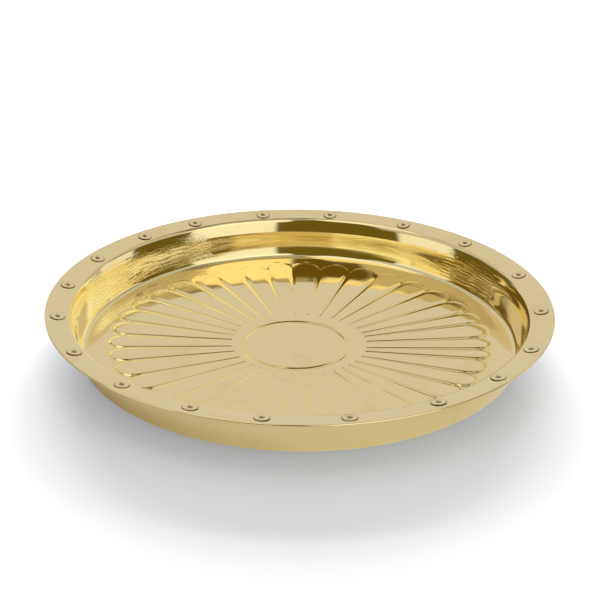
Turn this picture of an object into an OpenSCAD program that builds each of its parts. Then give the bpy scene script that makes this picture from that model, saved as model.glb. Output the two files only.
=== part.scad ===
// Thali plate: one pressed brass dish, with round studs set through its rim.
// Millimetres. The origin is the centre of the resting plane, +Z up.
// The -Y side is the front.

/* [Dish] */
// Diameter across the outer edge of the rim
rim_d = 300; // [260:1:340]
// Height from the resting plane to the top of the rim's outer edge
dish_h = 30; // [24:0.5:40]
// Thickness of the brass sheet
sheet_t = 1.2; // [1:0.1:1.6]
// Width of the rim, from the wall's line to the outer edge
rim_w = 15.5; // [13:0.1:20]
// Rise of the rim towards its outer edge, in degrees
rim_tilt = 10.5; // [2:0.1:14]
// Lean of the wall from upright, in degrees
wall_lean = 15.2; // [8:0.1:30]
// Radius of the hollow between floor and wall, on the inside
cove_r = 4.6; // [3:0.1:9]
// Radius of the bend between wall and rim, on the underside
shoulder_r = 1.5; // [0.8:0.1:3]

/* [Pressed pattern] */
// How deep the lines are pressed into the floor, and stand out beneath it
press_h = 0.5; // [0.3:0.1:0.6]
// Diameter of the plain ring in the middle, on its centre line
ring_d = 63.4; // [50:0.2:76]
// Width of that ring's line
ring_w = 3.2; // [2:0.1:4]
// How far the ring was struck off the plate's middle, to the left
ring_left = 2.4; // [0:0.1:4]
// How far the ring was struck off the plate's middle, to the front
ring_front = 2.5; // [0:0.1:4]
// Plain band between the ring and the inner ends of the petal lines
ring_gap = 7.7; // [5:0.1:16]
// Plain border between the petals' tips and the hollow at the floor's edge
border_w = 9.2; // [8:0.1:14]
// How much longer the petals at the back are than those at the sides
back_reach = 3; // [0:0.1:5]
// Width of a petal line at its inner end
line_w_start = 1.4; // [0.8:0.1:1.8]
// Width of a petal line at its outer end
line_w_end = 3; // [1.8:0.1:3.4]
// Width of the arch round a petal's tip
arch_w = 2.6; // [1.4:0.1:3]

/* [Studs] */
// Distance from the rim's outer edge to the studs' centres, along the level
stud_inset = 7.7; // [6:0.1:9]
// Diameter of a stud's head
head_d = 9.4; // [7:0.1:10]
// Height of a stud's head above the rim
head_h = 1.1; // [0.8:0.1:1.6]
// Height of the head's upright edge
head_edge_h = 0.5; // [0.3:0.05:0.7]
// Diameter of the pit in the head, at its mouth
pit_d = 3; // [2:0.1:4]
// Depth of that pit
pit_depth = 0.8; // [0.4:0.1:1]
// Diameter of the shank
shank_d = 3.4; // [2.6:0.1:4]
// Diameter of the tail clinched under the rim
tail_d = 5.6; // [4.6:0.1:7]
// Thickness of the tail
tail_h = 0.8; // [0.6:0.1:1.2]
// Gap between shank and hole, on the radius
hole_gap = 0.05; // [0.02:0.01:0.2]
// Gap between the sheet and the head above it, and the tail below it
seat_gap = 0.03; // [0.02:0.01:0.1]

/* [Hidden] */
$fn = 96;

// Each petal line runs straight from its inner direction to its outer one, in degrees from +X: set by hand,
// so neither is quite even
outer_angles = [
    3.5, 14, 22, 32, 42, 52, 62, 72.5, 83, 93, 102, 111.5, 121, 129.5, 139, 148.5, 157.5, 167, 177,
    186.5, 196, 207, 217, 227, 236, 245, 253.5, 264.5, 274, 282.5, 292, 301, 309.5, 318, 328.5, 338,
    348.5, 355.5
];
inner_angles = [
    3.5, 13, 20.5, 30.5, 41.5, 52.5, 61, 72, 82.5, 93.5, 103, 113.5, 124, 132, 141, 150, 159.5, 167.5, 176,
    188.5, 198, 210, 219.5, 228, 236.5, 244, 252.5, 264, 272.5, 278.5, 290, 299.5, 308, 316, 324, 335,
    344.5, 351.5
];

// Directions of the studs round the rim, also uneven
stud_angles = [
    17.5, 41, 61, 82, 100.5, 120, 136, 154.5, 172, 190, 209.5, 229, 247, 262.5, 280.5, 300.5, 318.5, 335, 356
];

line_count = len(outer_angles);
rim_r = rim_d / 2;
stud_circle_r = rim_r - stud_inset;
floor_z = press_h + sheet_t;

// The top face of the section is three straight runs, which meet at the floor's foot and the rim's corner
edge_r = sheet_t / 2;
rim_run = (rim_w - edge_r * (1 + sin(rim_tilt))) / cos(rim_tilt);
corner_r = rim_r - rim_w;
corner_z = dish_h - rim_run * sin(rim_tilt) - edge_r * (1 - cos(rim_tilt));
foot_r = corner_r - (corner_z - floor_z) * tan(wall_lean);
overrun = sheet_t;

// Each bend turns by the angle between the two runs that it joins
cove_turn = 90 - wall_lean;
cove_centre_r = foot_r - cove_r * tan(cove_turn / 2);
cove_centre = [cove_centre_r, floor_z + cove_r];
bend_r = shoulder_r + sheet_t;
bend_turn = 90 - wall_lean - rim_tilt;
bend_centre = on_rim_run(bend_r * tan(bend_turn / 2), bend_r);
edge_centre = on_rim_run(rim_run, edge_r);
arc_steps = 12;

// The petal lines run from outside the ring to arches round the tips
petal_start = (ring_d + ring_w) / 2 + ring_gap;
petal_tip = cove_centre_r - border_w;

function stud_name(i) = str("rim_stud_", i < 9 ? "0" : "", i + 1);
function on_rim_run(along, below) = [corner_r, corner_z]
    + along * [cos(rim_tilt), sin(rim_tilt)] + below * [sin(rim_tilt), -cos(rim_tilt)];
function arc(centre, r, from, to) = [
    for (i = [0 : arc_steps]) let (a = from + (to - from) * i / arc_steps) centre + r * [cos(a), sin(a)]
];
function turn_to_next(i) = i < line_count - 1
    ? outer_angles[i + 1] - outer_angles[i]
    : outer_angles[0] + 360 - outer_angles[i];
function tip_r(angle) = petal_tip + back_reach * sin(angle);
function polar(r, angle) = r * [cos(angle), sin(angle)];

// The sheet's section: out along the underside, round the rim's edge and back along the top
module sheet_section() {
    polygon(concat(
        [[0, floor_z - sheet_t]],
        arc(cove_centre, cove_r + sheet_t, -90, -wall_lean),
        arc(bend_centre, shoulder_r, 180 - wall_lean, 90 + rim_tilt),
        arc(edge_centre, edge_r, rim_tilt - 90, rim_tilt + 90),
        arc(bend_centre, bend_r, 90 + rim_tilt, 180 - wall_lean),
        arc(cove_centre, cove_r, -wall_lean, -90),
        [[0, floor_z]]
    ));
}

// A straight petal line, from its thin inner end to its wide outer end
module petal_line(from, to) {
    way = to - from;
    length = norm(way);
    translate(from) rotate(atan2(way[1], way[0])) {
        circle(d = line_w_start);
        polygon([[0, -line_w_start / 2], [length, -line_w_end / 2], [length, line_w_end / 2],
            [0, line_w_start / 2]]);
        translate([length, 0]) circle(d = line_w_end);
    }
}

// The arch round one tip: it touches the two lines at its sides
module petal_arch(half_turn, tip) {
    centre_r = tip / (1 + sin(half_turn));
    arch_r = tip - centre_r;
    translate([centre_r, 0]) intersection() {
        difference() {
            circle(r = arch_r + arch_w / 2);
            circle(r = arch_r - arch_w / 2);
        }
        translate([-arch_r * sin(half_turn), -2 * arch_r]) square([3 * arch_r, 4 * arch_r]);
    }
}

// All the pressed lines as one flat drawing
module pressed_pattern() {
    translate([-ring_left, -ring_front]) difference() {
        circle(d = ring_d + ring_w);
        circle(d = ring_d - ring_w);
    }
    for (i = [0 : line_count - 1]) {
        half_turn = turn_to_next(i) / 2;
        middle = outer_angles[i] + half_turn;
        line_end_r = tip_r(middle) * cos(half_turn) / (1 + sin(half_turn));
        petal_line(polar(petal_start, inner_angles[i]), polar(line_end_r, outer_angles[i]));
        rotate(middle) petal_arch(half_turn, tip_r(middle));
    }
}

// Places a stud or its hole: square to the sloping rim, its top face at Z = 0
module on_rim(angle) {
    rotate(angle)
        translate([stud_circle_r, 0, corner_z + (stud_circle_r - corner_r) * tan(rim_tilt)])
            rotate([0, -rim_tilt, 0]) children();
}

// The drawn sheet with its pressed floor and pierced rim
module dish() {
    color("goldenrod") difference() {
        union() {
            rotate_extrude() sheet_section();
            linear_extrude(press_h + sheet_t / 4) pressed_pattern();
        }
        translate([0, 0, floor_z - press_h]) linear_extrude(press_h + overrun) pressed_pattern();
        for (angle = stud_angles)
            on_rim(angle) translate([0, 0, -2 * sheet_t])
                cylinder(d = shank_d + 2 * hole_gap, h = 4 * sheet_t);
    }
}

// A stud: pitted head, shank through the rim and the tail clinched below
module rim_stud(angle) {
    head_r = head_d / 2;
    crown_h = head_h - head_edge_h;
    crown_r = (head_r * head_r + crown_h * crown_h) / (2 * crown_h);
    pit_r = (pit_d * pit_d / 4 + pit_depth * pit_depth) / (2 * pit_depth);
    color("darkgoldenrod") on_rim(angle) {
        difference() {
            translate([0, 0, seat_gap]) intersection() {
                cylinder(r = head_r, h = head_h);
                translate([0, 0, head_h - crown_r]) sphere(r = crown_r);
            }
            translate([0, 0, seat_gap + head_h - pit_depth + pit_r]) sphere(r = pit_r);
        }
        translate([0, 0, -sheet_t - seat_gap - tail_h / 2])
            cylinder(d = shank_d, h = sheet_t + 2 * seat_gap + tail_h / 2 + (head_h - pit_depth) / 2);
        translate([0, 0, -sheet_t - seat_gap - tail_h]) cylinder(d = tail_d, h = tail_h);
    }
}

dish();
for (i = [0 : len(stud_angles) - 1])
    rim_stud(stud_angles[i]);
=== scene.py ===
import math

import bmesh
import bpy
from mathutils import Matrix, Vector


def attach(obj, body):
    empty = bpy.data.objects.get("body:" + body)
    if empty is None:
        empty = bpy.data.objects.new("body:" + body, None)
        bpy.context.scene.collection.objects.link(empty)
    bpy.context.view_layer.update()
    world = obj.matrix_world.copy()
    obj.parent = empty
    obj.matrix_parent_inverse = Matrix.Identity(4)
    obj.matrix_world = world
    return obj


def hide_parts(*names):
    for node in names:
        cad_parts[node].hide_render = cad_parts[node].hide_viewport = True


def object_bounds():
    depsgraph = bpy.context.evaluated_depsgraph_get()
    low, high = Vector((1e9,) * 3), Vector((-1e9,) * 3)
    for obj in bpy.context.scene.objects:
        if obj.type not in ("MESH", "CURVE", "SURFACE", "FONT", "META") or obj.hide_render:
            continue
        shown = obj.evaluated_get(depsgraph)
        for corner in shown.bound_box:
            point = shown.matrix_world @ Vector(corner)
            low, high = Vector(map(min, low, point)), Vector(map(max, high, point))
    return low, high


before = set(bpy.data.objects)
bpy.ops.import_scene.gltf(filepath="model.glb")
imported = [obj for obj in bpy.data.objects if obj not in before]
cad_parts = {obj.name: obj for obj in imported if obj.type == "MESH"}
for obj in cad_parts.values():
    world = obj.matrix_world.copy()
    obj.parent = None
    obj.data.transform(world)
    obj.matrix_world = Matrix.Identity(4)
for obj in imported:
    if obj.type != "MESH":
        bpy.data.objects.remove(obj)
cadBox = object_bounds()
scene = bpy.context.scene
mm = 0.001
white = (1, 1, 1, 1)
weldDistance = 0.002 * mm


def addNode(tree, kind, inputs=None, **settings):
    node = tree.nodes.new(kind)
    for name, value in settings.items():
        setattr(node, name, value)
    for key, value in (inputs or {}).items():
        socket = node.inputs[key]
        if isinstance(value, bpy.types.NodeSocket):
            tree.links.new(value, socket)
        else:
            socket.default_value = value
    return node


def calc(tree, operation, *values, clamp=False):
    # one math node, given sockets or numbers, and its result
    node = addNode(tree, "ShaderNodeMath", dict(enumerate(values)), operation=operation, use_clamp=clamp)
    return node.outputs[0]


def smoothStep(tree, value, low, high):
    node = addNode(tree, "ShaderNodeMapRange", {"Value": value, "From Min": low, "From Max": high},
                   interpolation_type="SMOOTHSTEP")
    return node.outputs["Result"]


def between(tree, value, low, high, soft):
    # 1 from low to high, with a soft edge at either end
    return calc(tree, "MULTIPLY", smoothStep(tree, value, low - soft, low + soft),
                smoothStep(tree, value, high + soft, high - soft))


def blend(tree, low, high, share):
    node = addNode(tree, "ShaderNodeMapRange", {"Value": share, "To Min": low, "To Max": high})
    return node.outputs["Result"]


def mixColour(tree, share, first, second):
    # on this node the sockets 6 and 7 are the two colours, and output 2 is their mix
    mix = addNode(tree, "ShaderNodeMix", {"Factor": share, 6: first, 7: second}, data_type="RGBA")
    return mix.outputs[2]


def axesOf(tree, vector):
    return addNode(tree, "ShaderNodeSeparateXYZ", {0: vector}).outputs


def objectPlace(tree):
    return addNode(tree, "ShaderNodeTexCoord").outputs["Object"]


def noise(tree, place, seed, scale, detail, roughness=0.5, distortion=0.0):
    node = addNode(tree, "ShaderNodeTexNoise", {
        "Vector": place, "W": seed, "Scale": scale, "Detail": detail, "Roughness": roughness,
        "Distortion": distortion}, noise_dimensions="4D")
    return node.outputs["Fac"]


def bump(tree, height, distance, normal=None):
    inputs = {"Height": height, "Distance": distance, "Strength": 1.0}
    if normal is not None:
        inputs["Normal"] = normal
    return addNode(tree, "ShaderNodeBump", inputs).outputs[0]


def newGroup(name, kind, inputs, outputs):
    tree = bpy.data.node_groups.new(name, kind)
    for label, socketType, value in inputs:
        socket = tree.interface.new_socket(label, in_out="INPUT", socket_type=socketType)
        if value is not None:
            socket.default_value = value
    for label, socketType in outputs:
        tree.interface.new_socket(label, in_out="OUTPUT", socket_type=socketType)
    return tree, tree.nodes.new("NodeGroupInput"), tree.nodes.new("NodeGroupOutput")


def meshObject(name, points, faces=()):
    mesh = bpy.data.meshes.new(name)
    mesh.from_pydata([tuple(p) for p in points], [], list(faces))
    piece = bpy.data.objects.new(name, mesh)
    scene.collection.objects.link(piece)
    return piece


def runTree(tree, carrier, values):
    # the tree's inputs are set by identifier before the carrier is first evaluated
    modifier = carrier.modifiers.new("shape", "NODES")
    modifier.node_group = tree
    sockets = {item.name: item.identifier for item in tree.interface.items_tree
               if item.item_type == "SOCKET" and item.in_out == "INPUT"}
    for label, value in values.items():
        modifier[sockets[label]] = value


def bakeTree(carrier, name):
    evaluated = carrier.evaluated_get(bpy.context.evaluated_depsgraph_get())
    mesh = bpy.data.meshes.new_from_object(evaluated)
    mesh.name = name
    carrier.modifiers.clear()
    piece = bpy.data.objects.new(name, mesh)
    scene.collection.objects.link(piece)
    bpy.data.objects.remove(carrier)
    return piece


def faceOutwards(piece):
    shell = bmesh.new()
    shell.from_mesh(piece.data)
    bmesh.ops.recalc_face_normals(shell, faces=shell.faces)
    openEdges = sum(1 for edge in shell.edges if len(edge.link_faces) != 2)
    triangles = sum(len(face.verts) - 2 for face in shell.faces)
    shell.to_mesh(piece.data)
    shell.free()
    print(piece.name, "triangles", triangles, "open edges", openEdges)


# the camera, at the photograph's angle: metres, degrees, and lens and sensor in mm
cameraView = dict(
    elevation=24.717, distance=0.8535, aim=(0.0, 0.0, 0.030), lens=86.14, sensor=36, roll=0.662)

cameraData = bpy.data.cameras.new("camera")
cameraData.lens = cameraView["lens"]
cameraData.sensor_width = cameraView["sensor"]
camera = bpy.data.objects.new("camera", cameraData)
scene.collection.objects.link(camera)
tip = math.radians(cameraView["elevation"])
aim = Vector(cameraView["aim"])
camera.location = aim + cameraView["distance"] * Vector((0, -math.cos(tip), math.sin(tip)))
facing = (aim - camera.location).to_track_quat("-Z", "Y").to_matrix().to_4x4()
camera.matrix_world = (Matrix.Translation(camera.location) @ facing
                       @ Matrix.Rotation(math.radians(cameraView["roll"]), 4, "Z"))
scene.camera = camera
print("camera placed")


# how fine each group's noise is, and between which values of it a mask starts and ends
groupLook = dict(
    lines=dict(scale=1.0, detail=3.0, roughness=0.6), lineMask=(0.52, 0.72),
    waveDetail=1.0, rippleDetail=2.0,
    smear=dict(scale=38.0, detail=5.0, roughness=0.62, distortion=0.9), smearMask=(0.5, 0.78),
    wander=dict(scale=60.0, detail=2.0))

# fine turned lines that run round the plate, as a height and a mask
turned, turnedIn, turnedOut = newGroup(
    "turnedLines", "ShaderNodeTree",
    [("Lines Per Metre", "NodeSocketFloat", 2600.0), ("Length Round", "NodeSocketFloat", 3.0),
     ("Seed", "NodeSocketFloat", 0.0)],
    [("Height", "NodeSocketFloat"), ("Mask", "NodeSocketFloat")])
place = objectPlace(turned)
parts = axesOf(turned, place)
radius = calc(turned, "SQRT", calc(turned, "ADD", calc(turned, "MULTIPLY", parts[0], parts[0]),
                                   calc(turned, "MULTIPLY", parts[1], parts[1])))
along = calc(turned, "ADD", radius, parts[2])
level = addNode(turned, "ShaderNodeVectorMath", {0: place, 1: (1.0, 1.0, 0.0)},
                operation="MULTIPLY").outputs[0]
heading = addNode(turned, "ShaderNodeVectorMath", {0: level}, operation="NORMALIZE").outputs[0]
stretched = addNode(turned, "ShaderNodeVectorMath", {0: heading, "Scale": turnedIn.outputs["Length Round"]},
                    operation="SCALE").outputs[0]
headingParts = axesOf(turned, stretched)
linePlace = addNode(turned, "ShaderNodeCombineXYZ", {
    0: headingParts[0], 1: headingParts[1],
    2: calc(turned, "MULTIPLY", along, turnedIn.outputs["Lines Per Metre"])}).outputs[0]
fine = noise(turned, linePlace, turnedIn.outputs["Seed"], **groupLook["lines"])
turned.links.new(fine, turnedOut.inputs["Height"])
turned.links.new(smoothStep(turned, fine, *groupLook["lineMask"]), turnedOut.inputs["Mask"])

# the slow unevenness of a sheet that was drawn and polished by hand
handWork, handIn, handOut = newGroup(
    "handWork", "ShaderNodeTree",
    [("Wave Scale", "NodeSocketFloat", 14.0), ("Ripple Scale", "NodeSocketFloat", 90.0),
     ("Ripple Share", "NodeSocketFloat", 0.2), ("Seed", "NodeSocketFloat", 0.0)],
    [("Height", "NodeSocketFloat"), ("Smear", "NodeSocketFloat")])
place = objectPlace(handWork)
handSeed = handIn.outputs["Seed"]
waves = noise(handWork, place, handSeed, handIn.outputs["Wave Scale"], groupLook["waveDetail"])
ripples = noise(handWork, place, handSeed, handIn.outputs["Ripple Scale"], groupLook["rippleDetail"])
smear = noise(handWork, place, handSeed, **groupLook["smear"])
handWork.links.new(calc(handWork, "MULTIPLY_ADD", ripples, handIn.outputs["Ripple Share"], waves),
                   handOut.inputs["Height"])
handWork.links.new(smoothStep(handWork, smear, *groupLook["smearMask"]), handOut.inputs["Smear"])

# close ripples up the wall, left by the polishing wheel
ripple, rippleIn, rippleOut = newGroup(
    "wheelRipple", "ShaderNodeTree",
    [("Length", "NodeSocketFloat", 0.002), ("Phase", "NodeSocketFloat", 2.2),
     ("Seed", "NodeSocketFloat", 0.0)],
    [("Height", "NodeSocketFloat")])
place = objectPlace(ripple)
wander = noise(ripple, place, rippleIn.outputs["Seed"], **groupLook["wander"])
upWall = axesOf(ripple, place)[2]
turns = calc(ripple, "ADD", calc(ripple, "DIVIDE", upWall, rippleIn.outputs["Length"]),
             calc(ripple, "MULTIPLY", wander, rippleIn.outputs["Phase"]))
rippleWave = calc(ripple, "SINE", calc(ripple, "MULTIPLY", turns, 2 * math.pi))
ripple.links.new(rippleWave, rippleOut.inputs["Height"])

# tones are linear colours, heights are in metres, and pairs of heights are where a change starts and ends
brassLook = dict(
    # the hollow tone is a deeper yellow painted into the grooves, standing in for the light that bounces
    # inside them
    tone=(0.93, 0.772, 0.395, 1), deepTone=(0.88, 0.70, 0.33, 1), paintedHollowTone=(0.95, 0.76, 0.28, 1),
    paintedHollowShare=0.7, roughness=0.055, smearRoughness=0.05, lineRoughness=0.05, lineSeed=3.1,
    waveHeight=0.00011, wallWaveHeight=0.00005, lineHeight=0.0000008, wallFrom=(0.004, 0.007),
    # marks of the polishing on the wall: from and to in degrees round the plate, ripple and scratch heights,
    # where the scratch height also sets a painted dark reflection
    marks=[(147, 169, 0.000036, 0.0), (121, 147, 0.000003, 0.00022), (25, 44, 0.00003, 0.0)],
    marksFrom=(0.006, 0.008), marksTo=(0.0245, 0.026), markSoftness=1, markWander=14.0,
    rippleLength=0.0020, ripplePhase=2.2, scratchesPerMetre=620.0, scratchSpread=14.0, scratchSeed=8.2,
    paintedReflectionTone=(0.30, 0.20, 0.05, 1), paintedReflectionDark=3800.0)
studLook = dict(
    # on the studs the hollow tone is painted shade: dark in the pit and along the line where the head meets
    # the rim
    tone=(0.92, 0.757, 0.385, 1), deepTone=(0.82, 0.65, 0.30, 1), paintedHollowTone=(0.14, 0.08, 0.018, 1),
    paintedHollowShare=0.95, roughness=0.10, smearRoughness=0.08, lineRoughness=0.03, lineSeed=3.1,
    waveHeight=0.00012, wallWaveHeight=0.00012, lineHeight=0.000002, wallFrom=(0.004, 0.007))


def wallMarksAndPaintedReflection(tree, look, seed, handHeight, tone, normal):
    # ripples and brushed scratches in the stretches of wall that look["marks"] lists, and a painted dark
    # reflection over the scratches
    place = axesOf(tree, objectPlace(tree))
    turn = calc(tree, "DEGREES", calc(tree, "ARCTAN2", place[1], place[0]))
    turn = calc(tree, "MULTIPLY_ADD", calc(tree, "SUBTRACT", handHeight, 0.5), look["markWander"], turn)
    onWall = calc(tree, "SUBTRACT", smoothStep(tree, place[2], *look["marksFrom"]),
                  smoothStep(tree, place[2], *look["marksTo"]))
    scratchHeight = rippleHeight = 0.0
    for low, high, ripples, scratches in look["marks"]:
        there = calc(tree, "MULTIPLY", between(tree, turn, low, high, look["markSoftness"]), onWall)
        scratchHeight = calc(tree, "MULTIPLY_ADD", there, scratches, scratchHeight)
        rippleHeight = calc(tree, "MULTIPLY_ADD", there, ripples, rippleHeight)
    wheel = addNode(tree, "ShaderNodeGroup", {
        "Length": look["rippleLength"], "Phase": look["ripplePhase"], "Seed": seed}, node_tree=ripple)
    normal = bump(tree, wheel.outputs["Height"], rippleHeight, normal)
    brushed = addNode(tree, "ShaderNodeGroup", {
        "Lines Per Metre": look["scratchesPerMetre"], "Length Round": look["scratchSpread"],
        "Seed": seed + look["scratchSeed"]}, node_tree=turned).outputs
    normal = bump(tree, brushed["Height"], scratchHeight, normal)
    # the scratches are also darkened towards a brown: a painted dark reflection over real brushed scratches
    paintedReflectionShare = calc(tree, "MULTIPLY", brushed["Mask"], calc(tree, "MULTIPLY", scratchHeight, look["paintedReflectionDark"]))
    return mixColour(tree, paintedReflectionShare, tone, look["paintedReflectionTone"]), normal


def brassMaterial(name, look, seed):
    material = bpy.data.materials.new(name)
    material.use_nodes = True
    tree = material.node_tree
    tree.nodes.clear()
    hand = addNode(tree, "ShaderNodeGroup", {"Seed": seed}, node_tree=handWork).outputs
    lines = addNode(tree, "ShaderNodeGroup", {"Seed": seed + look["lineSeed"]}, node_tree=turned).outputs
    pressed = addNode(tree, "ShaderNodeAttribute", attribute_name="pressed").outputs["Fac"]
    tone = mixColour(tree, hand["Smear"], look["tone"], look["deepTone"])
    # the hollows get a painted tone: a deeper yellow for the light bouncing in the dish's grooves, painted
    # shade in the studs' pits and joins
    tone = mixColour(tree, calc(tree, "MULTIPLY", pressed, look["paintedHollowShare"]), tone, look["paintedHollowTone"])
    rough = calc(tree, "MULTIPLY_ADD", hand["Smear"], look["smearRoughness"], look["roughness"])
    rough = calc(tree, "MULTIPLY_ADD", lines["Mask"], look["lineRoughness"], rough)
    # the wall was turned truer than the floor
    upWall = smoothStep(tree, axesOf(tree, objectPlace(tree))[2], *look["wallFrom"])
    waveHeight = blend(tree, look["waveHeight"], look["wallWaveHeight"], upWall)
    normal = bump(tree, hand["Height"], waveHeight)
    if "marks" in look:
        tone, normal = wallMarksAndPaintedReflection(tree, look, seed, hand["Height"], tone, normal)
    normal = bump(tree, lines["Height"], look["lineHeight"], normal)
    shader = addNode(tree, "ShaderNodeBsdfPrincipled", {
        "Base Color": tone, "Metallic": 1.0, "Roughness": rough, "Normal": normal})
    output = addNode(tree, "ShaderNodeOutputMaterial")
    tree.links.new(shader.outputs[0], output.inputs[0])
    return material


dishBrass = brassMaterial("polishedDishBrass", brassLook, seed=1.7)
studBrass = brassMaterial("polishedStudBrass", studLook, seed=6.4)
print("brass made")


# the dish, one pressed sheet
dish = dict(
    rimRadius=150 * mm, height=30 * mm, sheet=1.2 * mm, rimTilt=8.2, cornerRadius=135.8 * mm,
    # heights in mm with the lean from upright there in degrees, evened out over leanReach steps each way
    wallLean=[(0, 15.4), (9.5, 14.6), (12.5, 8.5), (17, 6), (19.5, 9), (22, 18), (28, 26)],
    wallSteps=60, leanReach=4, coveRadius=3.6 * mm, shoulderRadius=3.1 * mm, clearOfBends=1.05,
    floorHeight=1.7 * mm, petalRise=1.96 * mm, riseStart=34.3 * mm, risePower=1.2, riseBeyond=1.05,
    borderHeight=3.02 * mm, borderSlope=0.025, borderAt=118.5 * mm, borderStep=1.2 * mm,
    footRadius=128.5 * mm, tipRadius=114.8 * mm, backReach=3 * mm,
    ringRadius=31.7 * mm, ringWidth=4.2 * mm, ringShift=(-2.4 * mm, -2.5 * mm),
    # rows move with the ring up to this radius in mm, ever less over the last few
    ringHold=(38.5, 5),
    lineStart=41 * mm, lineTouch=106 * mm, lineWidthIn=2.6 * mm, lineWidthOut=6.2 * mm, innerDepth=0.6,
    archWidth=4.3 * mm, leastFacing=0.4, pressDepth=0.5 * mm, edgeSteps=6)

# each petal line runs straight from its inner direction to its outer one, in degrees from +X
outerAngles = [
    3.5, 14, 22, 32, 42, 52, 62, 72.5, 83, 93, 102, 111.5, 121, 129.5, 139, 148.5, 157.5, 167, 177,
    186.5, 196, 207, 217, 227, 236, 245, 253.5, 264.5, 274, 282.5, 292, 301, 309.5, 318, 328.5, 338,
    348.5, 355.5]
innerAngles = [
    3.5, 13, 20.5, 30.5, 41.5, 52.5, 61, 72, 82.5, 93.5, 103, 113.5, 124, 132, 141, 150, 159.5, 167.5, 176,
    188.5, 198, 210, 219.5, 228, 236.5, 244, 252.5, 264, 272.5, 278.5, 290, 299.5, 308, 316, 324, 335,
    344.5, 351.5]


def floorLevel(radius):
    # the border's plain cone, which the petals stand above
    return dish["borderHeight"] + dish["borderSlope"] * (radius - dish["borderAt"])


def filletPoints(corner, before, after, radius, steps):
    # an arc that turns from one direction to another, tangent to both runs through the corner
    before, after = before.normalized(), after.normalized()
    turn = before.angle(after)
    side = 1 if before.x * after.y - before.y * after.x > 0 else -1
    start = corner - before * radius * math.tan(turn / 2)
    centre = start + Vector((-before.y, before.x)) * side * radius
    points = []
    for i in range(steps + 1):
        angle = side * turn * i / steps
        arm = start - centre
        points.append(centre + Vector((arm.x * math.cos(angle) - arm.y * math.sin(angle),
                                       arm.x * math.sin(angle) + arm.y * math.cos(angle))))
    return points, radius * math.tan(turn / 2)


def wallRun():
    # the wall from its foot to the rim's corner: its lean changes with the height
    tilt = math.radians(dish["rimTilt"])
    half = dish["sheet"] / 2
    rimRun = (dish["rimRadius"] - dish["cornerRadius"] - half * (1 + math.sin(tilt))) / math.cos(tilt)
    cornerZ = dish["height"] - rimRun * math.sin(tilt) - half * (1 - math.cos(tilt))
    low = floorLevel(dish["footRadius"])
    steps, reach, table = dish["wallSteps"], dish["leanReach"], dish["wallLean"]
    leans = []
    for i in range(steps + 1):
        z = (low + (cornerZ - low) * i / steps) / mm
        k = max(j for j in range(len(table) - 1) if table[j][0] <= z or j == 0)
        share = min(max((z - table[k][0]) / (table[k + 1][0] - table[k][0]), 0), 1)
        leans.append(table[k][1] + (table[k + 1][1] - table[k][1]) * share)
    smooth = []
    for i in range(steps + 1):
        beside = leans[max(i - reach, 0):i + reach + 1]
        smooth.append(sum(beside) / len(beside))
    step = (cornerZ - low) / steps
    run = [Vector((dish["cornerRadius"], cornerZ))]
    for i in range(steps, 0, -1):
        run.append(run[-1] - Vector((math.tan(math.radians((smooth[i] + smooth[i - 1]) / 2)) * step, step)))
    run.reverse()
    return run, rimRun, tilt


def thin(points, count):
    # evenly spaced points along a run, ends kept
    lengths = [0.0]
    for a, b in zip(points, points[1:]):
        lengths.append(lengths[-1] + (b - a).length)
    out = []
    for i in range(count + 1):
        want = lengths[-1] * i / count
        k = max(j for j in range(len(points) - 1) if lengths[j] <= want + 1e-12)
        share = (want - lengths[k]) / (lengths[k + 1] - lengths[k])
        out.append(points[k] + (points[k + 1] - points[k]) * min(share, 1))
    return out


def upperCurve(coveSteps, wallSteps, shoulderSteps, rimSteps):
    # the top face of the section from the border's end outwards: a bend takes its run's way near its end
    run, rimRun, tilt = wallRun()
    foot = run[0]
    rimWay = Vector((math.cos(tilt), math.sin(tilt)))
    cove, cut = filletPoints(foot, Vector((1, dish["borderSlope"])), run[4] - foot, dish["coveRadius"],
                             coveSteps)
    shoulder, topCut = filletPoints(run[-1], run[-1] - run[-4], rimWay, dish["shoulderRadius"], shoulderSteps)
    clear = dish["clearOfBends"]
    middle = [p for p in run if (p - foot).length > cut * clear and (p - run[-1]).length > topCut * clear]
    wall = thin([cove[-1]] + middle + [shoulder[0]], wallSteps)
    rim = thin([shoulder[-1], run[-1] + rimWay * rimRun], rimSteps)
    return cove + wall[1:-1] + shoulder + rim[1:], rimWay


def offsetCurve(points, depth):
    out = []
    for i, p in enumerate(points):
        a, b = points[max(i - 1, 0)], points[min(i + 1, len(points) - 1)]
        way = (b - a).normalized()
        out.append(p + Vector((way.y, -way.x)) * depth)
    return out


def floorRows(radii, ringSteps, lineRadii, blendSteps, bandSteps, outSteps, below):
    # a row: radius, step out from the arches' line, height, follows the arches, is floor, moves with the ring,
    # where a height on the floor counts sheets from its top face and others are in metres
    letGo, over = dish["ringHold"]
    rows = [(r * mm, 0, below, 0, 1, 1) for r in radii]
    rows += [(dish["ringRadius"] + o * mm, 0, below, 0, 1, 1) for o in ringSteps]
    rows += [(r * mm, 0, below, 0, 1, min(max((letGo - r) / over, 0), 1)) for r in lineRadii]
    inner, outer = bandSteps[0], bandSteps[-1]
    rows += [(lineRadii[-1] * mm, inner * mm, below, i / blendSteps, 1, 0) for i in range(1, blendSteps)]
    rows += [(dish["borderAt"], o * mm, below, 1, 1, 0) for o in bandSteps]
    rows += [(dish["borderAt"] + dish["borderStep"], outer * mm, below, 1 - i / outSteps, 1, 0)
             for i in range(1, outSteps + 1)]
    return rows


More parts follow.
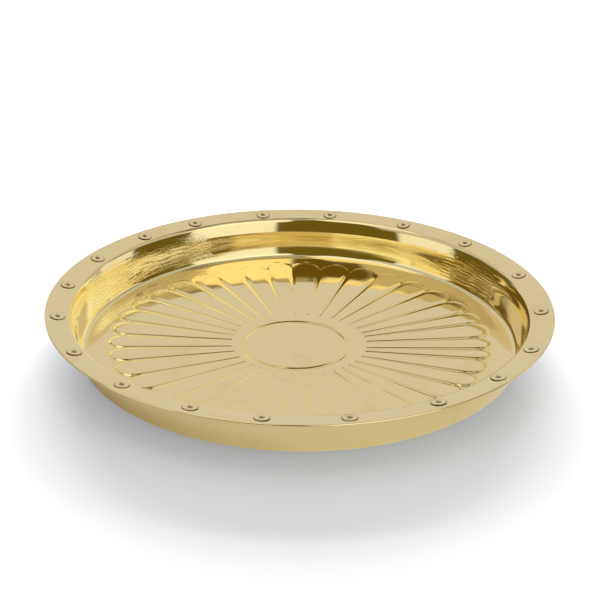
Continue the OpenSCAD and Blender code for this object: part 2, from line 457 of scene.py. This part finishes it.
topCurve, rimWay = upperCurve(coveSteps=8, wallSteps=16, shoulderSteps=7, rimSteps=4)
lowCurve = offsetCurve(upperCurve(coveSteps=6, wallSteps=10, shoulderSteps=5, rimSteps=3)[0], dish["sheet"])
edgeCentre = topCurve[-1] + Vector((rimWay.y, -rimWay.x)) * dish["sheet"] / 2
edge = []
for i in range(1, dish["edgeSteps"]):
    angle = math.radians(dish["rimTilt"] + 90 - 180 * i / dish["edgeSteps"])
    edge.append(edgeCentre + Vector((math.cos(angle), math.sin(angle))) * dish["sheet"] / 2)

# radii and steps in mm: the rows of the top face, the edge and the underside
rows = floorRows(
    radii=[0, 8, 16, 24, 29.3], ringSteps=[-1.8, -1.4, -1.0, -0.65, -0.3, 0, 0.3, 0.65, 1.0, 1.4, 1.8],
    lineRadii=[35.5, 37.5, 39.2, 39.8, 40.3, 40.8, 41.3, 42.3, 45, 50, 57, 64, 72, 80, 88, 94],
    blendSteps=4, bandSteps=[-2.0, -1.6, -1.2, -0.8, -0.4, 0, 0.4, 0.8, 1.2, 1.6, 2.0], outSteps=2, below=0)
rows += [(r * mm, 0, 0, 0, 1, 0) for r in (121.3, 123.2)]
rows += [(p.x, 0, p.y, 0, 0, 0) for p in topCurve + edge]
rows += [(p.x, 0, p.y, 0, 0, 0) for p in reversed(lowCurve)]
under = floorRows(
    radii=[0, 12, 24, 29.3], ringSteps=[-1.7, -1.1, -0.5, 0, 0.5, 1.1, 1.7],
    lineRadii=[37.5, 39.8, 40.6, 42, 46, 56, 70, 84, 94],
    blendSteps=3, bandSteps=[-2.0, -1.3, -0.6, 0, 0.6, 1.3, 2.0], outSteps=1, below=-1)
rows += list(reversed(under + [(122 * mm, 0, -1, 0, 1, 0)]))

# a column: outer turn, inner turn, place across the petal from -1 to 1, half sector outside and inside
columns = []
shares = [0, 0.05, 0.10, 0.155, 0.22, 0.32, 0.45, 0.62, 0.80]
lineCount = len(outerAngles)
for i in range(lineCount):
    nextTurn = 360 if i == lineCount - 1 else 0
    halfOut = (outerAngles[(i + 1) % lineCount] + nextTurn - outerAngles[i]) / 2
    halfIn = (innerAngles[(i + 1) % lineCount] + nextTurn - innerAngles[i]) / 2
    for share in shares + [1] + [2 - s for s in reversed(shares[1:])]:
        columns.append((
            math.radians(outerAngles[i] + halfOut * share), math.radians(innerAngles[i] + halfIn * share),
            share - 1, math.radians(halfOut), math.radians(halfIn)))
columns.append((columns[0][0] + 2 * math.pi, columns[0][1] + 2 * math.pi) + columns[0][2:])


def pointTable(name, table, labels):
    # a loose point for each line of the table, its further values kept as attributes
    piece = meshObject(name, [line[:3] for line in table])
    for place, label in enumerate(labels, 3):
        layer = piece.data.attributes.new(label, "FLOAT", "POINT")
        layer.data.foreach_set("value", [float(line[place]) for line in table])
    return piece


sectionPoints = pointTable("sectionPoints", rows, ("follow", "onFloor", "withRing"))
columnPoints = pointTable("columnPoints", columns, ("halfOuter", "halfInner"))

pressTree, pressIn, pressOut = newGroup(
    "pressedDish", "GeometryNodeTree",
    [("Geometry", "NodeSocketGeometry", None), ("Section", "NodeSocketObject", None),
     ("Columns", "NodeSocketObject", None), ("Sheet", "NodeSocketFloat", 0.0012),
     ("Floor Height", "NodeSocketFloat", 0.0017), ("Petal Rise", "NodeSocketFloat", 0.002),
     ("Rise Start", "NodeSocketFloat", 0.034), ("Rise Power", "NodeSocketFloat", 1.2),
     ("Border Height", "NodeSocketFloat", 0.003), ("Border Slope", "NodeSocketFloat", 0.025),
     ("Border Radius", "NodeSocketFloat", 0.1185), ("Tip Radius", "NodeSocketFloat", 0.115),
     ("Back Reach", "NodeSocketFloat", 0.003), ("Ring Radius", "NodeSocketFloat", 0.0317),
     ("Ring Width", "NodeSocketFloat", 0.0032), ("Ring Shift", "NodeSocketVector", (0.0, 0.0, 0.0)),
     ("Line Start", "NodeSocketFloat", 0.041), ("Line Touch", "NodeSocketFloat", 0.106),
     ("Line Width In", "NodeSocketFloat", 0.0015), ("Line Width Out", "NodeSocketFloat", 0.003),
     ("Arch Width", "NodeSocketFloat", 0.0026), ("Press Depth", "NodeSocketFloat", 0.0005),
     ("Material", "NodeSocketMaterial", None)],
    [("Geometry", "NodeSocketGeometry")])
size = pressIn.outputs
section = addNode(pressTree, "GeometryNodeObjectInfo", {"Object": size["Section"]}).outputs["Geometry"]
sweep = addNode(pressTree, "GeometryNodeObjectInfo", {"Object": size["Columns"]}).outputs["Geometry"]
rowCount = addNode(pressTree, "GeometryNodeAttributeDomainSize",
                   {"Geometry": section}).outputs["Point Count"]
columnCount = addNode(pressTree, "GeometryNodeAttributeDomainSize",
                      {"Geometry": sweep}).outputs["Point Count"]
grid = addNode(pressTree, "GeometryNodeMeshGrid", {"Vertices X": columnCount, "Vertices Y": rowCount})
index = addNode(pressTree, "GeometryNodeInputIndex").outputs[0]
column = calc(pressTree, "FLOOR", calc(pressTree, "DIVIDE", calc(pressTree, "ADD", index, 0.5), rowCount))
row = calc(pressTree, "SUBTRACT", index, calc(pressTree, "MULTIPLY", column, rowCount))


def sampleAt(geometry, field, dataType, which):
    node = addNode(pressTree, "GeometryNodeSampleIndex", {"Geometry": geometry, "Index": which},
                   data_type=dataType, domain="POINT")
    pressTree.links.new(field, node.inputs["Value"])
    return node.outputs["Value"]


def namedField(label):
    return addNode(pressTree, "GeometryNodeInputNamedAttribute", {"Name": label},
                   data_type="FLOAT").outputs["Attribute"]


def press(operation, *values):
    return calc(pressTree, operation, *values)


position = addNode(pressTree, "GeometryNodeInputPosition").outputs[0]
sectionAt = axesOf(pressTree, sampleAt(section, position, "FLOAT_VECTOR", row))
columnAt = axesOf(pressTree, sampleAt(sweep, position, "FLOAT_VECTOR", column))
follow = sampleAt(section, namedField("follow"), "FLOAT", row)
onFloor = sampleAt(section, namedField("onFloor"), "FLOAT", row)
withRing = sampleAt(section, namedField("withRing"), "FLOAT", row)
halfOuter = sampleAt(sweep, namedField("halfOuter"), "FLOAT", column)
halfInner = sampleAt(sweep, namedField("halfInner"), "FLOAT", column)
# a straight line turns with one over its radius, from its inner direction to its outer one
touchShare = press("DIVIDE", 1.0, size["Line Touch"])
inwards = calc(pressTree, "DIVIDE", press("SUBTRACT", press("DIVIDE", 1.0, sectionAt[0]), touchShare),
               press("SUBTRACT", press("DIVIDE", 1.0, size["Line Start"]), touchShare), clamp=True)
inwards = press("MULTIPLY", inwards, press("SUBTRACT", 1.0, follow))
turnAt = blend(pressTree, columnAt[0], columnAt[1], inwards)
halfSector = blend(pressTree, halfOuter, halfInner, inwards)
offMiddle = press("MULTIPLY", columnAt[2], halfSector)
petalTurn = press("SUBTRACT", columnAt[0], press("MULTIPLY", columnAt[2], halfOuter))
tipRadius = press("MULTIPLY_ADD", press("SINE", petalTurn), size["Back Reach"], size["Tip Radius"])
# rows near the tips are drawn onto the arches: each is a circle that touches the lines at its sides
sineHalf = press("SINE", halfSector)
archCentre = press("DIVIDE", tipRadius, press("ADD", 1.0, sineHalf))
archRadius = press("SUBTRACT", tipRadius, archCentre)
sideways = press("MULTIPLY", archCentre, press("SINE", offMiddle))
reach = press("SUBTRACT", press("MULTIPLY", archRadius, archRadius), press("MULTIPLY", sideways, sideways))
reach = press("SQRT", press("MAXIMUM", reach, 0.0))
archAt = press("MULTIPLY_ADD", archCentre, press("COSINE", offMiddle), reach)
# a step is longer where the arch slants away from the radius, up to a limit
facingOut = press("MAXIMUM", press("DIVIDE", reach, archRadius), dish["leastFacing"])
archRow = press("ADD", archAt, press("DIVIDE", sectionAt[1], facingOut))
rowRadius = blend(pressTree, sectionAt[0], archRow, follow)
# how far a point lies from the arch, the petal line and the ring
outward = press("SUBTRACT", press("MULTIPLY", rowRadius, press("COSINE", offMiddle)), archCentre)
across = press("MULTIPLY", rowRadius, press("SINE", press("ABSOLUTE", offMiddle)))
fromCentre = press("SQRT", press("ADD", press("MULTIPLY", outward, outward),
                                 press("MULTIPLY", across, across)))
pastTouch = press("GREATER_THAN", outward, press("MULTIPLY", press("MULTIPLY", archRadius, sineHalf), -1.0))
outsideArch = press("SUBTRACT", fromCentre, archRadius)
lineTurn = press("SUBTRACT", halfSector, press("ABSOLUTE", offMiddle))
lineOff = press("MULTIPLY", rowRadius, press("SINE", lineTurn))
beforeStart = press("MAXIMUM", press("SUBTRACT", size["Line Start"], rowRadius), 0.0)
lineOff = press("SQRT", press("ADD", press("MULTIPLY", lineOff, lineOff),
                              press("MULTIPLY", beforeStart, beforeStart)))
outShare = calc(pressTree, "DIVIDE", press("SUBTRACT", rowRadius, size["Line Start"]),
                press("SUBTRACT", tipRadius, size["Line Start"]), clamp=True)
lineWidth = blend(pressTree, size["Line Width In"], size["Line Width Out"], outShare)


def trough(distance, width):
    # 1 on the line, falling smoothly to 0 at its edge
    share = press("MINIMUM", press("DIVIDE", distance, press("MULTIPLY", width, 0.5)), 1.0)
    return press("MULTIPLY_ADD", press("COSINE", press("MULTIPLY", share, math.pi)), 0.5, 0.5)


archTrough = press("MULTIPLY", trough(press("ABSOLUTE", outsideArch), size["Arch Width"]), pastTouch)
lineTrough = press("MULTIPLY", trough(lineOff, lineWidth), press("SUBTRACT", 1.0, pastTouch))
lineDepth = press("MULTIPLY_ADD", outShare, 1 - dish["innerDepth"], dish["innerDepth"])
lineTrough = press("MULTIPLY", lineTrough, lineDepth)
ringTrough = trough(press("ABSOLUTE", press("SUBTRACT", rowRadius, size["Ring Radius"])), size["Ring Width"])
pressed = press("MULTIPLY", press("MAXIMUM", press("MAXIMUM", archTrough, lineTrough), ringTrough), onFloor)
# the floor rises towards the petals' tips and drops to the plain border outside them
riseShare = press("DIVIDE", press("SUBTRACT", rowRadius, size["Rise Start"]),
                  press("SUBTRACT", tipRadius, size["Rise Start"]))
riseShare = press("MINIMUM", press("MAXIMUM", riseShare, 0.0), dish["riseBeyond"])
petalLevel = press("MULTIPLY_ADD", press("POWER", riseShare, size["Rise Power"]), size["Petal Rise"],
                   size["Floor Height"])
borderLevel = press("MULTIPLY_ADD", press("SUBTRACT", rowRadius, size["Border Radius"]),
                    size["Border Slope"], size["Border Height"])
acrossArch = smoothStep(pressTree, outsideArch, press("MULTIPLY", size["Arch Width"], -0.5),
                        press("MULTIPLY", size["Arch Width"], 0.5))
outsideShare = press("MULTIPLY", acrossArch, pastTouch)
floorTop = press("SUBTRACT", blend(pressTree, petalLevel, borderLevel, outsideShare),
                 press("MULTIPLY", pressed, size["Press Depth"]))
floorAt = press("MULTIPLY_ADD", sectionAt[2], size["Sheet"], floorTop)
heightAt = blend(pressTree, sectionAt[2], floorAt, onFloor)
ringShift = axesOf(pressTree, size["Ring Shift"])
wrapped = addNode(pressTree, "ShaderNodeCombineXYZ", {
    0: press("MULTIPLY_ADD", rowRadius, press("COSINE", turnAt), press("MULTIPLY", ringShift[0], withRing)),
    1: press("MULTIPLY_ADD", rowRadius, press("SINE", turnAt), press("MULTIPLY", ringShift[1], withRing)),
    2: heightAt}).outputs[0]
# how far each point is pressed is kept on it, where the brass paints a deeper yellow into the grooves for the
# light that bounces there
marked = addNode(pressTree, "GeometryNodeStoreNamedAttribute", {
    "Geometry": grid.outputs["Mesh"], "Name": "pressed", "Value": pressed}, data_type="FLOAT", domain="POINT")
moved = addNode(pressTree, "GeometryNodeSetPosition", {"Geometry": marked.outputs[0], "Position": wrapped})
merged = addNode(pressTree, "GeometryNodeMergeByDistance", {
    "Geometry": moved.outputs[0], "Distance": weldDistance})
smoothed = addNode(pressTree, "GeometryNodeSetShadeSmooth", {"Geometry": merged.outputs[0]})
real = addNode(pressTree, "GeometryNodeRealizeInstances", {"Geometry": smoothed.outputs[0]})
coated = addNode(pressTree, "GeometryNodeSetMaterial", {
    "Geometry": real.outputs[0], "Material": size["Material"]})
pressTree.links.new(coated.outputs[0], pressOut.inputs[0])

dishCarrier = meshObject("dishCarrier", [(0, 0, 0)])
runTree(pressTree, dishCarrier, {
    "Section": sectionPoints, "Columns": columnPoints, "Sheet": dish["sheet"],
    "Floor Height": dish["floorHeight"], "Petal Rise": dish["petalRise"], "Rise Start": dish["riseStart"],
    "Rise Power": dish["risePower"], "Border Height": dish["borderHeight"],
    "Border Slope": dish["borderSlope"], "Border Radius": dish["borderAt"], "Tip Radius": dish["tipRadius"],
    "Back Reach": dish["backReach"], "Ring Radius": dish["ringRadius"], "Ring Width": dish["ringWidth"],
    "Ring Shift": (*dish["ringShift"], 0.0), "Line Start": dish["lineStart"],
    "Line Touch": dish["lineTouch"], "Line Width In": dish["lineWidthIn"],
    "Line Width Out": dish["lineWidthOut"], "Arch Width": dish["archWidth"],
    "Press Depth": dish["pressDepth"], "Material": dishBrass})
print("rows", len(rows), "columns", len(columns))
dishSheet = bakeTree(dishCarrier, "dishSheet")
bpy.data.objects.remove(sectionPoints)
bpy.data.objects.remove(columnPoints)
faceOutwards(dishSheet)
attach(dishSheet, "root")
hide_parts("dish")
print("dish pressed")


# the studs through the rim
stud = dict(
    circleRadius=142.4 * mm, headRadius=4.45 * mm, headHeight=0.51 * mm, edgeHeight=0.35 * mm,
    # the dome ends crownIn inside the head's radius
    pitRadius=1.95 * mm, pitDepth=0.45 * mm, pitPower=1.3, crownPower=2.4, crownIn=0.25 * mm,
    # the head's rounded edge, as steps in from its radius and down from its edge height, and its bevelled foot
    edgeSteps=[(0.05 * mm, 0.1 * mm), (0, 0.3 * mm)], footIn=0.1 * mm, footUp=0.05 * mm,
    shankRadius=1.7 * mm, tailRadius=2.8 * mm, tailHeight=0.8 * mm, tailEdge=0.15 * mm, tailPower=0.6,
    seatGap=0.03 * mm, arcSteps=5, crownSteps=6, segments=48,
    # the painted shade along the line round the head: its width and how dark it is
    joinWidth=0.3 * mm, joinPaintedShade=0.9,
    # random tilts in degrees, with a number for each draw
    wobble=1.5, seed=5, tiltDraw=3, rollDraw=11)
studAngles = [17.5, 41, 61, 82, 100.5, 120, 136, 154.5, 172, 190, 209.5, 229, 247, 262.5, 280.5, 300.5, 318.5,
              335, 356]


def studSection():
    # from the pit's bottom over the domed head, down the shank and round the clinched tail
    quarter = [math.radians(90 * i / stud["arcSteps"]) for i in range(1, stud["arcSteps"] + 1)]
    top = stud["seatGap"] + stud["headHeight"]
    edgeTop = stud["seatGap"] + stud["edgeHeight"]
    points = [(0, top - stud["pitDepth"])]
    points += [(stud["pitRadius"] * math.sin(a), top - stud["pitDepth"] * math.cos(a) ** stud["pitPower"])
               for a in quarter]
    crown = stud["headHeight"] - stud["edgeHeight"]
    for i in range(1, stud["crownSteps"] + 1):
        share = i / stud["crownSteps"]
        radius = stud["pitRadius"] + (stud["headRadius"] - stud["crownIn"] - stud["pitRadius"]) * share
        points.append((radius, top - crown * (radius / stud["headRadius"]) ** stud["crownPower"]))
    points += [(stud["headRadius"] - inwards, edgeTop - down) for inwards, down in stud["edgeSteps"]]
    points += [(stud["headRadius"], stud["seatGap"] + stud["footUp"]),
               (stud["headRadius"] - stud["footIn"], stud["seatGap"]), (stud["shankRadius"], stud["seatGap"])]
    below = -dish["sheet"] - stud["seatGap"]
    edgeLow = below - stud["tailEdge"]
    points += [(stud["shankRadius"], below), (stud["tailRadius"] - stud["tailEdge"], below),
               (stud["tailRadius"], edgeLow)]
    points += [(stud["tailRadius"] * math.cos(a) ** stud["tailPower"],
                edgeLow - (stud["tailHeight"] - stud["tailEdge"]) * math.sin(a)) for a in quarter[:-1]]
    return points + [(0, below - stud["tailHeight"])]


def paintedShade(place, radius):
    # painted shade: dark in the pit, and along the line where the head meets the rim
    if place <= stud["arcSteps"]:
        return max(0.0, 1 - (radius / stud["pitRadius"]) ** 2)
    return stud["joinPaintedShade"] if radius > stud["headRadius"] - stud["joinWidth"] else 0.0


studPoints = studSection()
ringSize = len(studPoints)
verts, faces = [], []
for k in range(stud["segments"]):
    angle = 2 * math.pi * k / stud["segments"]
    verts += [(r * math.cos(angle), r * math.sin(angle), z) for r, z in studPoints]
    a, b = k * ringSize, (k + 1) % stud["segments"] * ringSize
    faces += [(a + i, b + i, b + i + 1, a + i + 1) for i in range(ringSize - 1)]
oneStud = meshObject("oneStud", verts, faces)
# each step of the section keeps its painted shade, on every segment
paintedShadeRing = [paintedShade(place, radius) for place, (radius, _) in enumerate(studPoints)]
paintedShadeLayer = oneStud.data.attributes.new("pressed", "FLOAT", "POINT")
paintedShadeLayer.data.foreach_set("value", paintedShadeRing * stud["segments"])

studTree, studIn, studOut = newGroup(
    "studsRound", "GeometryNodeTree",
    [("Geometry", "NodeSocketGeometry", None), ("Stud", "NodeSocketObject", None),
     ("Circle Radius", "NodeSocketFloat", 0.14), ("Height", "NodeSocketFloat", 0.028),
     ("Rim Tilt", "NodeSocketFloat", 0.18), ("Wobble", "NodeSocketFloat", 0.03),
     ("Seed", "NodeSocketInt", 0), ("Material", "NodeSocketMaterial", None)],
    [("Geometry", "NodeSocketGeometry")])
given = studIn.outputs
head = addNode(studTree, "GeometryNodeObjectInfo", {"Object": given["Stud"]}).outputs["Geometry"]
where = axesOf(studTree, addNode(studTree, "GeometryNodeInputPosition").outputs[0])[0]
captured = addNode(studTree, "GeometryNodeStoreNamedAttribute", {
    "Geometry": given["Geometry"], "Name": "turn", "Value": where}, data_type="FLOAT", domain="POINT")
spot = addNode(studTree, "ShaderNodeCombineXYZ", {
    0: calc(studTree, "MULTIPLY", given["Circle Radius"], calc(studTree, "COSINE", where)),
    1: calc(studTree, "MULTIPLY", given["Circle Radius"], calc(studTree, "SINE", where)),
    2: given["Height"]})
placed = addNode(studTree, "GeometryNodeSetPosition", {
    "Geometry": captured.outputs[0], "Position": spot.outputs[0]})
turnField = addNode(studTree, "GeometryNodeInputNamedAttribute", {"Name": "turn"},
                    data_type="FLOAT").outputs["Attribute"]


def wobble(draw):
    # a small random tilt for each stud
    node = addNode(studTree, "FunctionNodeRandomValue", data_type="FLOAT")
    studTree.links.new(calc(studTree, "ADD", given["Seed"], draw), node.inputs["Seed"])
    low, high = [s for s in node.inputs
                 if s.name in ("Min", "Max") and s.type == "VALUE" and s.enabled][:2]
    low.default_value, high.default_value = -1.0, 1.0
    value = [s for s in node.outputs if s.type == "VALUE"][0]
    return calc(studTree, "MULTIPLY", value, given["Wobble"])


tiltBack = calc(studTree, "SUBTRACT", wobble(stud["tiltDraw"]), given["Rim Tilt"])
spin = addNode(studTree, "ShaderNodeCombineXYZ", {0: wobble(stud["rollDraw"]), 1: tiltBack, 2: turnField})
toRotation = addNode(studTree, "FunctionNodeEulerToRotation", {0: spin.outputs[0]})
instances = addNode(studTree, "GeometryNodeInstanceOnPoints", {
    "Points": placed.outputs[0], "Instance": head, "Rotation": toRotation.outputs[0]})
realised = addNode(studTree, "GeometryNodeRealizeInstances", {"Geometry": instances.outputs[0]})
joined = addNode(studTree, "GeometryNodeMergeByDistance", {
    "Geometry": realised.outputs[0], "Distance": weldDistance})
shaded = addNode(studTree, "GeometryNodeSetShadeSmooth", {"Geometry": joined.outputs[0]})
coated = addNode(studTree, "GeometryNodeSetMaterial", {
    "Geometry": shaded.outputs[0], "Material": given["Material"]})
studTree.links.new(coated.outputs[0], studOut.inputs[0])

run, _, tilt = wallRun()
studCarrier = meshObject("studCarrier", [(math.radians(a), 0, 0) for a in studAngles])
runTree(studTree, studCarrier, {
    "Stud": oneStud, "Circle Radius": stud["circleRadius"],
    "Height": run[-1].y + (stud["circleRadius"] - dish["cornerRadius"]) * math.tan(tilt),
    "Rim Tilt": tilt, "Wobble": math.radians(stud["wobble"]), "Seed": stud["seed"], "Material": studBrass})
rimStuds = bakeTree(studCarrier, "rimStuds")
bpy.data.objects.remove(oneStud)
faceOutwards(rimStuds)
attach(rimStuds, "root")
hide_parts(*["rim_stud_%02d" % i for i in range(1, 20)])
print("studs set")


# soft light all round: elevations and azimuths in degrees, azimuth from the camera's side towards +X
studio = dict(
    ambient=0.62, dimTone=(0.155, 0.112, 0.013, 1), dimBelow=0.3, backTint=(0.99, 0.96, 1.0, 1),
    backFrom=(-0.2, 0.5),
    # what the wall passes on after two bounces, to a side and low down, or after three: tones, azimuths
    # with their soft edge, elevations and ray depths, which count one more than the bounces
    calmTone=(0.8, 0.8, 0.7, 1), leftDeepTone=(0.16, 0.13, 0.04, 1), rightDeepTone=(1.10, 1.24, 1.5, 1),
    leftDeep=(-110, -21, 6), rightDeep=(35, 146, 6), leftSide=(-110, -62, 4), rightSide=(62, 146, 4),
    sideBelow=(38, 32), twoBounces=(2.2, 2.8), threeBounces=(3.2, 3.8),
    # each soft panel: azimuth, half width, lowest, highest, soft edge, strength
    panels=[
        (37, 24, -8, 42, 2, 1.06), (38, 32, 30, 68, 4, 1.25), (-70, 17, -8, 24, 2, 0.98),
        (109, 13, -8, 22, 2, 0.92), (180, 46, -8, 52, 9, 0.715), (-140, 30, 14, 60, 6, 0.56),
        (-85, 42, 24, 60, 5, 0.62), (100, 48, 30, 62, 6, 0.6), (140, 22, -8, 50, 6, 0.55),
        (-95, 75, 58, 90, 6, 1.1), (85, 95, 64, 90, 6, 0.5)])

panelGroup, panelIn, panelOut = newGroup(
    "softPanel", "ShaderNodeTree",
    [("Azimuth", "NodeSocketFloat", 0.0), ("Elevation", "NodeSocketFloat", 0.0),
     ("Centre", "NodeSocketFloat", 0.0), ("Half Width", "NodeSocketFloat", 20.0),
     ("Lowest", "NodeSocketFloat", 0.0), ("Highest", "NodeSocketFloat", 60.0),
     ("Soft", "NodeSocketFloat", 3.0), ("Strength", "NodeSocketFloat", 1.0)],
    [("Light", "NodeSocketFloat")])
seen = panelIn.outputs


def pastEdge(value, edge):
    # 0 before the panel's soft edge and 1 past it
    return smoothStep(panelGroup, value, calc(panelGroup, "SUBTRACT", edge, seen["Soft"]),
                      calc(panelGroup, "ADD", edge, seen["Soft"]))


away = calc(panelGroup, "SUBTRACT", seen["Azimuth"], seen["Centre"])
away = calc(panelGroup, "ABSOLUTE", calc(panelGroup, "WRAP", away, 180.0, -180.0))
inside = calc(panelGroup, "SUBTRACT", 1.0, pastEdge(away, seen["Half Width"]))
above = pastEdge(seen["Elevation"], seen["Lowest"])
below = calc(panelGroup, "SUBTRACT", 1.0, pastEdge(seen["Elevation"], seen["Highest"]))
light = calc(panelGroup, "MULTIPLY", calc(panelGroup, "MULTIPLY", inside, above),
             calc(panelGroup, "MULTIPLY", below, seen["Strength"]))
panelGroup.links.new(light, panelOut.inputs["Light"])

world = bpy.data.worlds.new("studio")
scene.world = world
world.use_nodes = True
tree = world.node_tree
tree.nodes.clear()
way = axesOf(tree, addNode(tree, "ShaderNodeTexCoord").outputs["Generated"])
azimuth = calc(tree, "DEGREES", calc(tree, "ARCTAN2", way[0], calc(tree, "MULTIPLY", way[1], -1.0)))
elevation = calc(tree, "DEGREES", calc(tree, "ARCSINE", way[2]))
total = 0.0
for centre, halfWidth, lowest, highest, soft, strength in studio["panels"]:
    panel = addNode(tree, "ShaderNodeGroup", {
        "Azimuth": azimuth, "Elevation": elevation, "Centre": centre, "Half Width": halfWidth,
        "Lowest": lowest, "Highest": highest, "Soft": soft, "Strength": strength}, node_tree=panelGroup)
    total = calc(tree, "MAXIMUM", panel.outputs[0], total)
path = addNode(tree, "ShaderNodeLightPath").outputs
strengthHere = blend(tree, studio["ambient"], total, path["Is Glossy Ray"])
strengthHere = blend(tree, strengthHere, 1.0, path["Is Camera Ray"])
behind = calc(tree, "MULTIPLY", smoothStep(tree, way[1], *studio["backFrom"]), path["Is Glossy Ray"])
tint = mixColour(tree, behind, white, studio["backTint"])
lit = addNode(tree, "ShaderNodeVectorMath", {0: tint, "Scale": strengthHere}, operation="SCALE").outputs[0]
# where no panel stands, brass shows the warm dark room
unlit = calc(tree, "SUBTRACT", 1.0, smoothStep(tree, total, 0.0, studio["dimBelow"]))
room = mixColour(tree, calc(tree, "MULTIPLY", path["Is Glossy Ray"], unlit), lit, studio["dimTone"])
# deep in the dish the tone goes by direction alone: dim from the left and bright from the right
toSide = calc(tree, "ADD", between(tree, azimuth, *studio["leftSide"]),
              between(tree, azimuth, *studio["rightSide"]))
toSide = calc(tree, "MULTIPLY", toSide, smoothStep(tree, elevation, *studio["sideBelow"]))
toSide = calc(tree, "MULTIPLY", toSide, smoothStep(tree, path["Ray Depth"], *studio["twoBounces"]))
deepShare = calc(tree, "MAXIMUM", smoothStep(tree, path["Ray Depth"], *studio["threeBounces"]), toSide)
deep = mixColour(tree, between(tree, azimuth, *studio["leftDeep"]), studio["calmTone"],
                 studio["leftDeepTone"])
deep = mixColour(tree, between(tree, azimuth, *studio["rightDeep"]), deep, studio["rightDeepTone"])
around = mixColour(tree, calc(tree, "MULTIPLY", deepShare, path["Is Glossy Ray"]), room, deep)
background = addNode(tree, "ShaderNodeBackground", {"Color": around, "Strength": 1.0})
output = addNode(tree, "ShaderNodeOutputWorld")
tree.links.new(background.outputs[0], output.inputs[0])

# a pale floor, in metres from its middle: pairs are where a change starts and ends
floorLook = dict(
    reach=0.75, below=0.0001, tone=(0.8, 0.8, 0.8, 1), nearShadowTone=(0.46, 0.55, 0.67, 1), nearTo=(0.12, 0.165),
    glow=0.17, nearGlow=(1.21, 1.23, 1.38, 1), glowTo=(0.17, 0.30), fade=(0.30, 0.62),
    # what the brass shows of the floor beside it, from the left to the right: a painted glow, brown and dim on
    # the left as painted shade, bright on the right
    mirrored=0.62, mirroredAcross=(-0.11, 0.13),
    mirroredTones=[(0.45, 0.31, 0.15, 1), (1.03, 0.97, 0.74, 1), (1.15, 1.03, 0.88, 1)])
reach = floorLook["reach"]
floor = meshObject("studioFloor", [(-reach, -reach, 0), (reach, -reach, 0), (reach, reach, 0),
                                   (-reach, reach, 0)], [(0, 1, 2, 3)])
floor.location.z = cadBox[0][2] - floorLook["below"]
floorMaterial = bpy.data.materials.new("paleFloor")
floorMaterial.use_nodes = True
tree = floorMaterial.node_tree
tree.nodes.clear()
ground = objectPlace(tree)
farOut = addNode(tree, "ShaderNodeVectorMath", {0: ground}, operation="LENGTH").outputs["Value"]
fade = smoothStep(tree, farOut, *floorLook["fade"])
path = addNode(tree, "ShaderNodeLightPath").outputs
beside = smoothStep(tree, farOut, *floorLook["nearTo"])
# darker and bluer beside the plate: a painted shadow, which also evens out the warm light that the brass
# throws there
matte = addNode(tree, "ShaderNodeBsdfDiffuse", {
    "Color": mixColour(tree, beside, floorLook["nearShadowTone"], floorLook["tone"])})
glowTone = mixColour(tree, smoothStep(tree, farOut, *floorLook["glowTo"]), floorLook["nearGlow"], white)
glow = addNode(tree, "ShaderNodeEmission", {"Color": glowTone, "Strength": floorLook["glow"]})
lit = addNode(tree, "ShaderNodeAddShader", {0: matte.outputs[0], 1: glow.outputs[0]})
# in the brass the floor shows a painted glow, bright, and warm near the plate as painted bounce light from the
# brass
left, right = floorLook["mirroredAcross"]
across = addNode(tree, "ShaderNodeMapRange", {
    "Value": axesOf(tree, ground)[0], "From Min": left, "From Max": right}).outputs["Result"]
acrossFloor = addNode(tree, "ShaderNodeValToRGB", {"Fac": across})
acrossFloor.color_ramp.elements.new(0.5)
for place, shade in enumerate(floorLook["mirroredTones"]):
    acrossFloor.color_ramp.elements[place].color = shade
warm = mixColour(tree, beside, acrossFloor.outputs["Color"], white)
mirrored = addNode(tree, "ShaderNodeEmission", {"Color": warm, "Strength": floorLook["mirrored"]})
near = addNode(tree, "ShaderNodeMixShader", {
    0: path["Is Glossy Ray"], 1: lit.outputs[0], 2: mirrored.outputs[0]})
clear = addNode(tree, "ShaderNodeBsdfTransparent")
mixed = addNode(tree, "ShaderNodeMixShader", {0: fade, 1: near.outputs[0], 2: clear.outputs[0]})
output = addNode(tree, "ShaderNodeOutputMaterial")
tree.links.new(mixed.outputs[0], output.inputs[0])
floor.data.materials.append(floorMaterial)

# one soft lamp from behind, which lights the floor and isn't mirrored in the brass
backLamp = dict(distance=1.1, elevation=25, width=1.3, height=0.42, power=30.0)
lampData = bpy.data.lights.new("backSoftbox", "AREA")
lampData.shape = "RECTANGLE"
lampData.size = backLamp["width"]
lampData.size_y = backLamp["height"]
lampData.energy = backLamp["power"]
lamp = bpy.data.objects.new("backSoftbox", lampData)
scene.collection.objects.link(lamp)
rise = math.radians(backLamp["elevation"])
lamp.location = Vector((0, math.cos(rise), math.sin(rise))) * backLamp["distance"]
lamp.rotation_euler = (-lamp.location).to_track_quat("-Z", "Y").to_euler()
lamp.visible_glossy = False

scene.view_settings.view_transform = "Standard"
print("studio lit")
